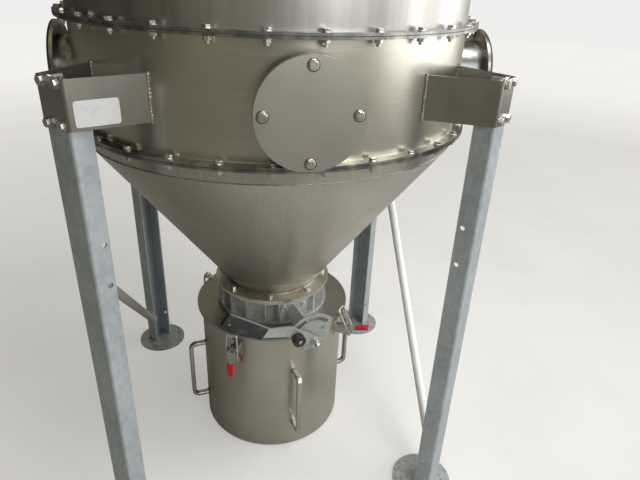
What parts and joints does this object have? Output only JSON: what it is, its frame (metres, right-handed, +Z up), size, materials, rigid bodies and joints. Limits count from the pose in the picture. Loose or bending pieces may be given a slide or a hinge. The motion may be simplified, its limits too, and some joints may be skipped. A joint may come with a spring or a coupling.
{
  "type": "cyclone dust separator",
  "caption": "Round sheet-metal separator on channel legs, with a cone hopper, a lever-operated shut-off valve and a clamped collecting bin.",
  "frame": {"origin": "On the floor below the vessel's axis, at the middle of the bin's base.", "axes": "+Z up; -Y to the closed plate at the front; +X to the longer spigot at the right."},
  "size_m": [1.146, 1.0841, 2.14],
  "materials": {
    "stainless": "brushed, handled, warm grey",
    "galvanised": "galvanised, scuffed",
    "cast_alloy": "cast, satin",
    "plated": "plated, a little dull",
    "black_rubber": "matt, dusty",
    "black_plastic": "matt",
    "red_plastic": "dipped, glossy"
  },
  "bodies": {
    "vessel": {"upper_shell": "stainless", "inlet_ring": "stainless", "hopper": "stainless", "cover": "stainless", "outlet_pipe": "stainless", "front_spigot": "stainless", "hatch_plate": "stainless", "left_spigot": "stainless", "right_spigot": "stainless", "bin_lid": "stainless", "bin": "stainless", "bin_handles": "stainless", "bracket_front_left": "stainless", "bracket_front_right": "stainless", "bracket_rear_right": "stainless", "bracket_rear_left": "stainless", "leg_front_left": "galvanised", "leg_front_right": "galvanised", "leg_rear_right": "galvanised", "leg_rear_left": "galvanised", "brace_left": "galvanised", "brace_right": "galvanised", "sector_bracket": "galvanised", "valve_body": "cast_alloy", "latch_bases": "plated", "latch_catches": "plated", "spigot_gaskets": "black_rubber", "lid_seal": "black_rubber"},
    "valve_rotor": {"valve_disc": "stainless", "valve_spindle": "plated", "lever": "plated", "lever_grip": "black_rubber", "lever_knob": "black_plastic"},
    "latch_handle_front_left": {"latch_handle_front_left": "plated", "latch_sleeve_front_left": "red_plastic"},
    "latch_hook_front_left": {"latch_hook_front_left": "plated"},
    "latch_handle_front_right": {"latch_handle_front_right": "plated", "latch_sleeve_front_right": "red_plastic"},
    "latch_hook_front_right": {"latch_hook_front_right": "plated"},
    "latch_handle_rear_right": {"latch_handle_rear_right": "plated", "latch_sleeve_rear_right": "red_plastic"},
    "latch_hook_rear_right": {"latch_hook_rear_right": "plated"},
    "latch_handle_rear_left": {"latch_handle_rear_left": "plated", "latch_sleeve_rear_left": "red_plastic"},
    "latch_hook_rear_left": {"latch_hook_rear_left": "plated"}
  },
  "joints": [
    {"name": "valve_turn", "type": "hinge", "parent": "vessel", "child": "valve_rotor", "pos_m": [0, 0, 0.502], "axis": [-0.2453, 0.9694, 0], "range_deg": [0, 90]},
    {"name": "latch_open_front_left", "type": "hinge", "parent": "vessel", "child": "latch_handle_front_left", "pos_m": [-0.14707, -0.21804, 0.4], "axis": [-0.829, 0.5592, 0], "range_deg": [0, 110]},
    {"name": "hook_tilt_front_left", "type": "hinge", "parent": "latch_handle_front_left", "child": "latch_hook_front_left", "pos_m": [-0.14539, -0.21555, 0.38], "axis": [-0.829, 0.5592, 0], "range_deg": [-82.5, 0]},
    {"name": "latch_open_front_right", "type": "hinge", "parent": "vessel", "child": "latch_handle_front_right", "pos_m": [0.21804, -0.14707, 0.4], "axis": [-0.5592, -0.829, 0], "range_deg": [-105, 5]},
    {"name": "hook_tilt_front_right", "type": "hinge", "parent": "latch_handle_front_right", "child": "latch_hook_front_right", "pos_m": [0.2347, -0.1583, 0.40228], "axis": [-0.5592, -0.829, 0], "range_deg": [-3.75, 78.75]},
    {"name": "latch_open_rear_right", "type": "hinge", "parent": "vessel", "child": "latch_handle_rear_right", "pos_m": [0.14707, 0.21804, 0.4], "axis": [0.829, -0.5592, 0], "range_deg": [0, 110]},
    {"name": "hook_tilt_rear_right", "type": "hinge", "parent": "latch_handle_rear_right", "child": "latch_hook_rear_right", "pos_m": [0.14539, 0.21555, 0.38], "axis": [0.829, -0.5592, 0], "range_deg": [-82.5, 0]},
    {"name": "latch_open_rear_left", "type": "hinge", "parent": "vessel", "child": "latch_handle_rear_left", "pos_m": [-0.21804, 0.14707, 0.4], "axis": [0.5592, 0.829, 0], "range_deg": [0, 110]},
    {"name": "hook_tilt_rear_left", "type": "hinge", "parent": "latch_handle_rear_left", "child": "latch_hook_rear_left", "pos_m": [-0.21555, 0.14539, 0.38], "axis": [0.5592, 0.829, 0], "range_deg": [-82.5, 0]}
  ],
  "couplings": [
    {"joint": "hook_tilt_front_left", "follows": "latch_open_front_left", "ratio": -0.75},
    {"joint": "hook_tilt_front_right", "follows": "latch_open_front_right", "ratio": -0.75},
    {"joint": "hook_tilt_rear_right", "follows": "latch_open_rear_right", "ratio": -0.75},
    {"joint": "hook_tilt_rear_left", "follows": "latch_open_rear_left", "ratio": -0.75}
  ]
}
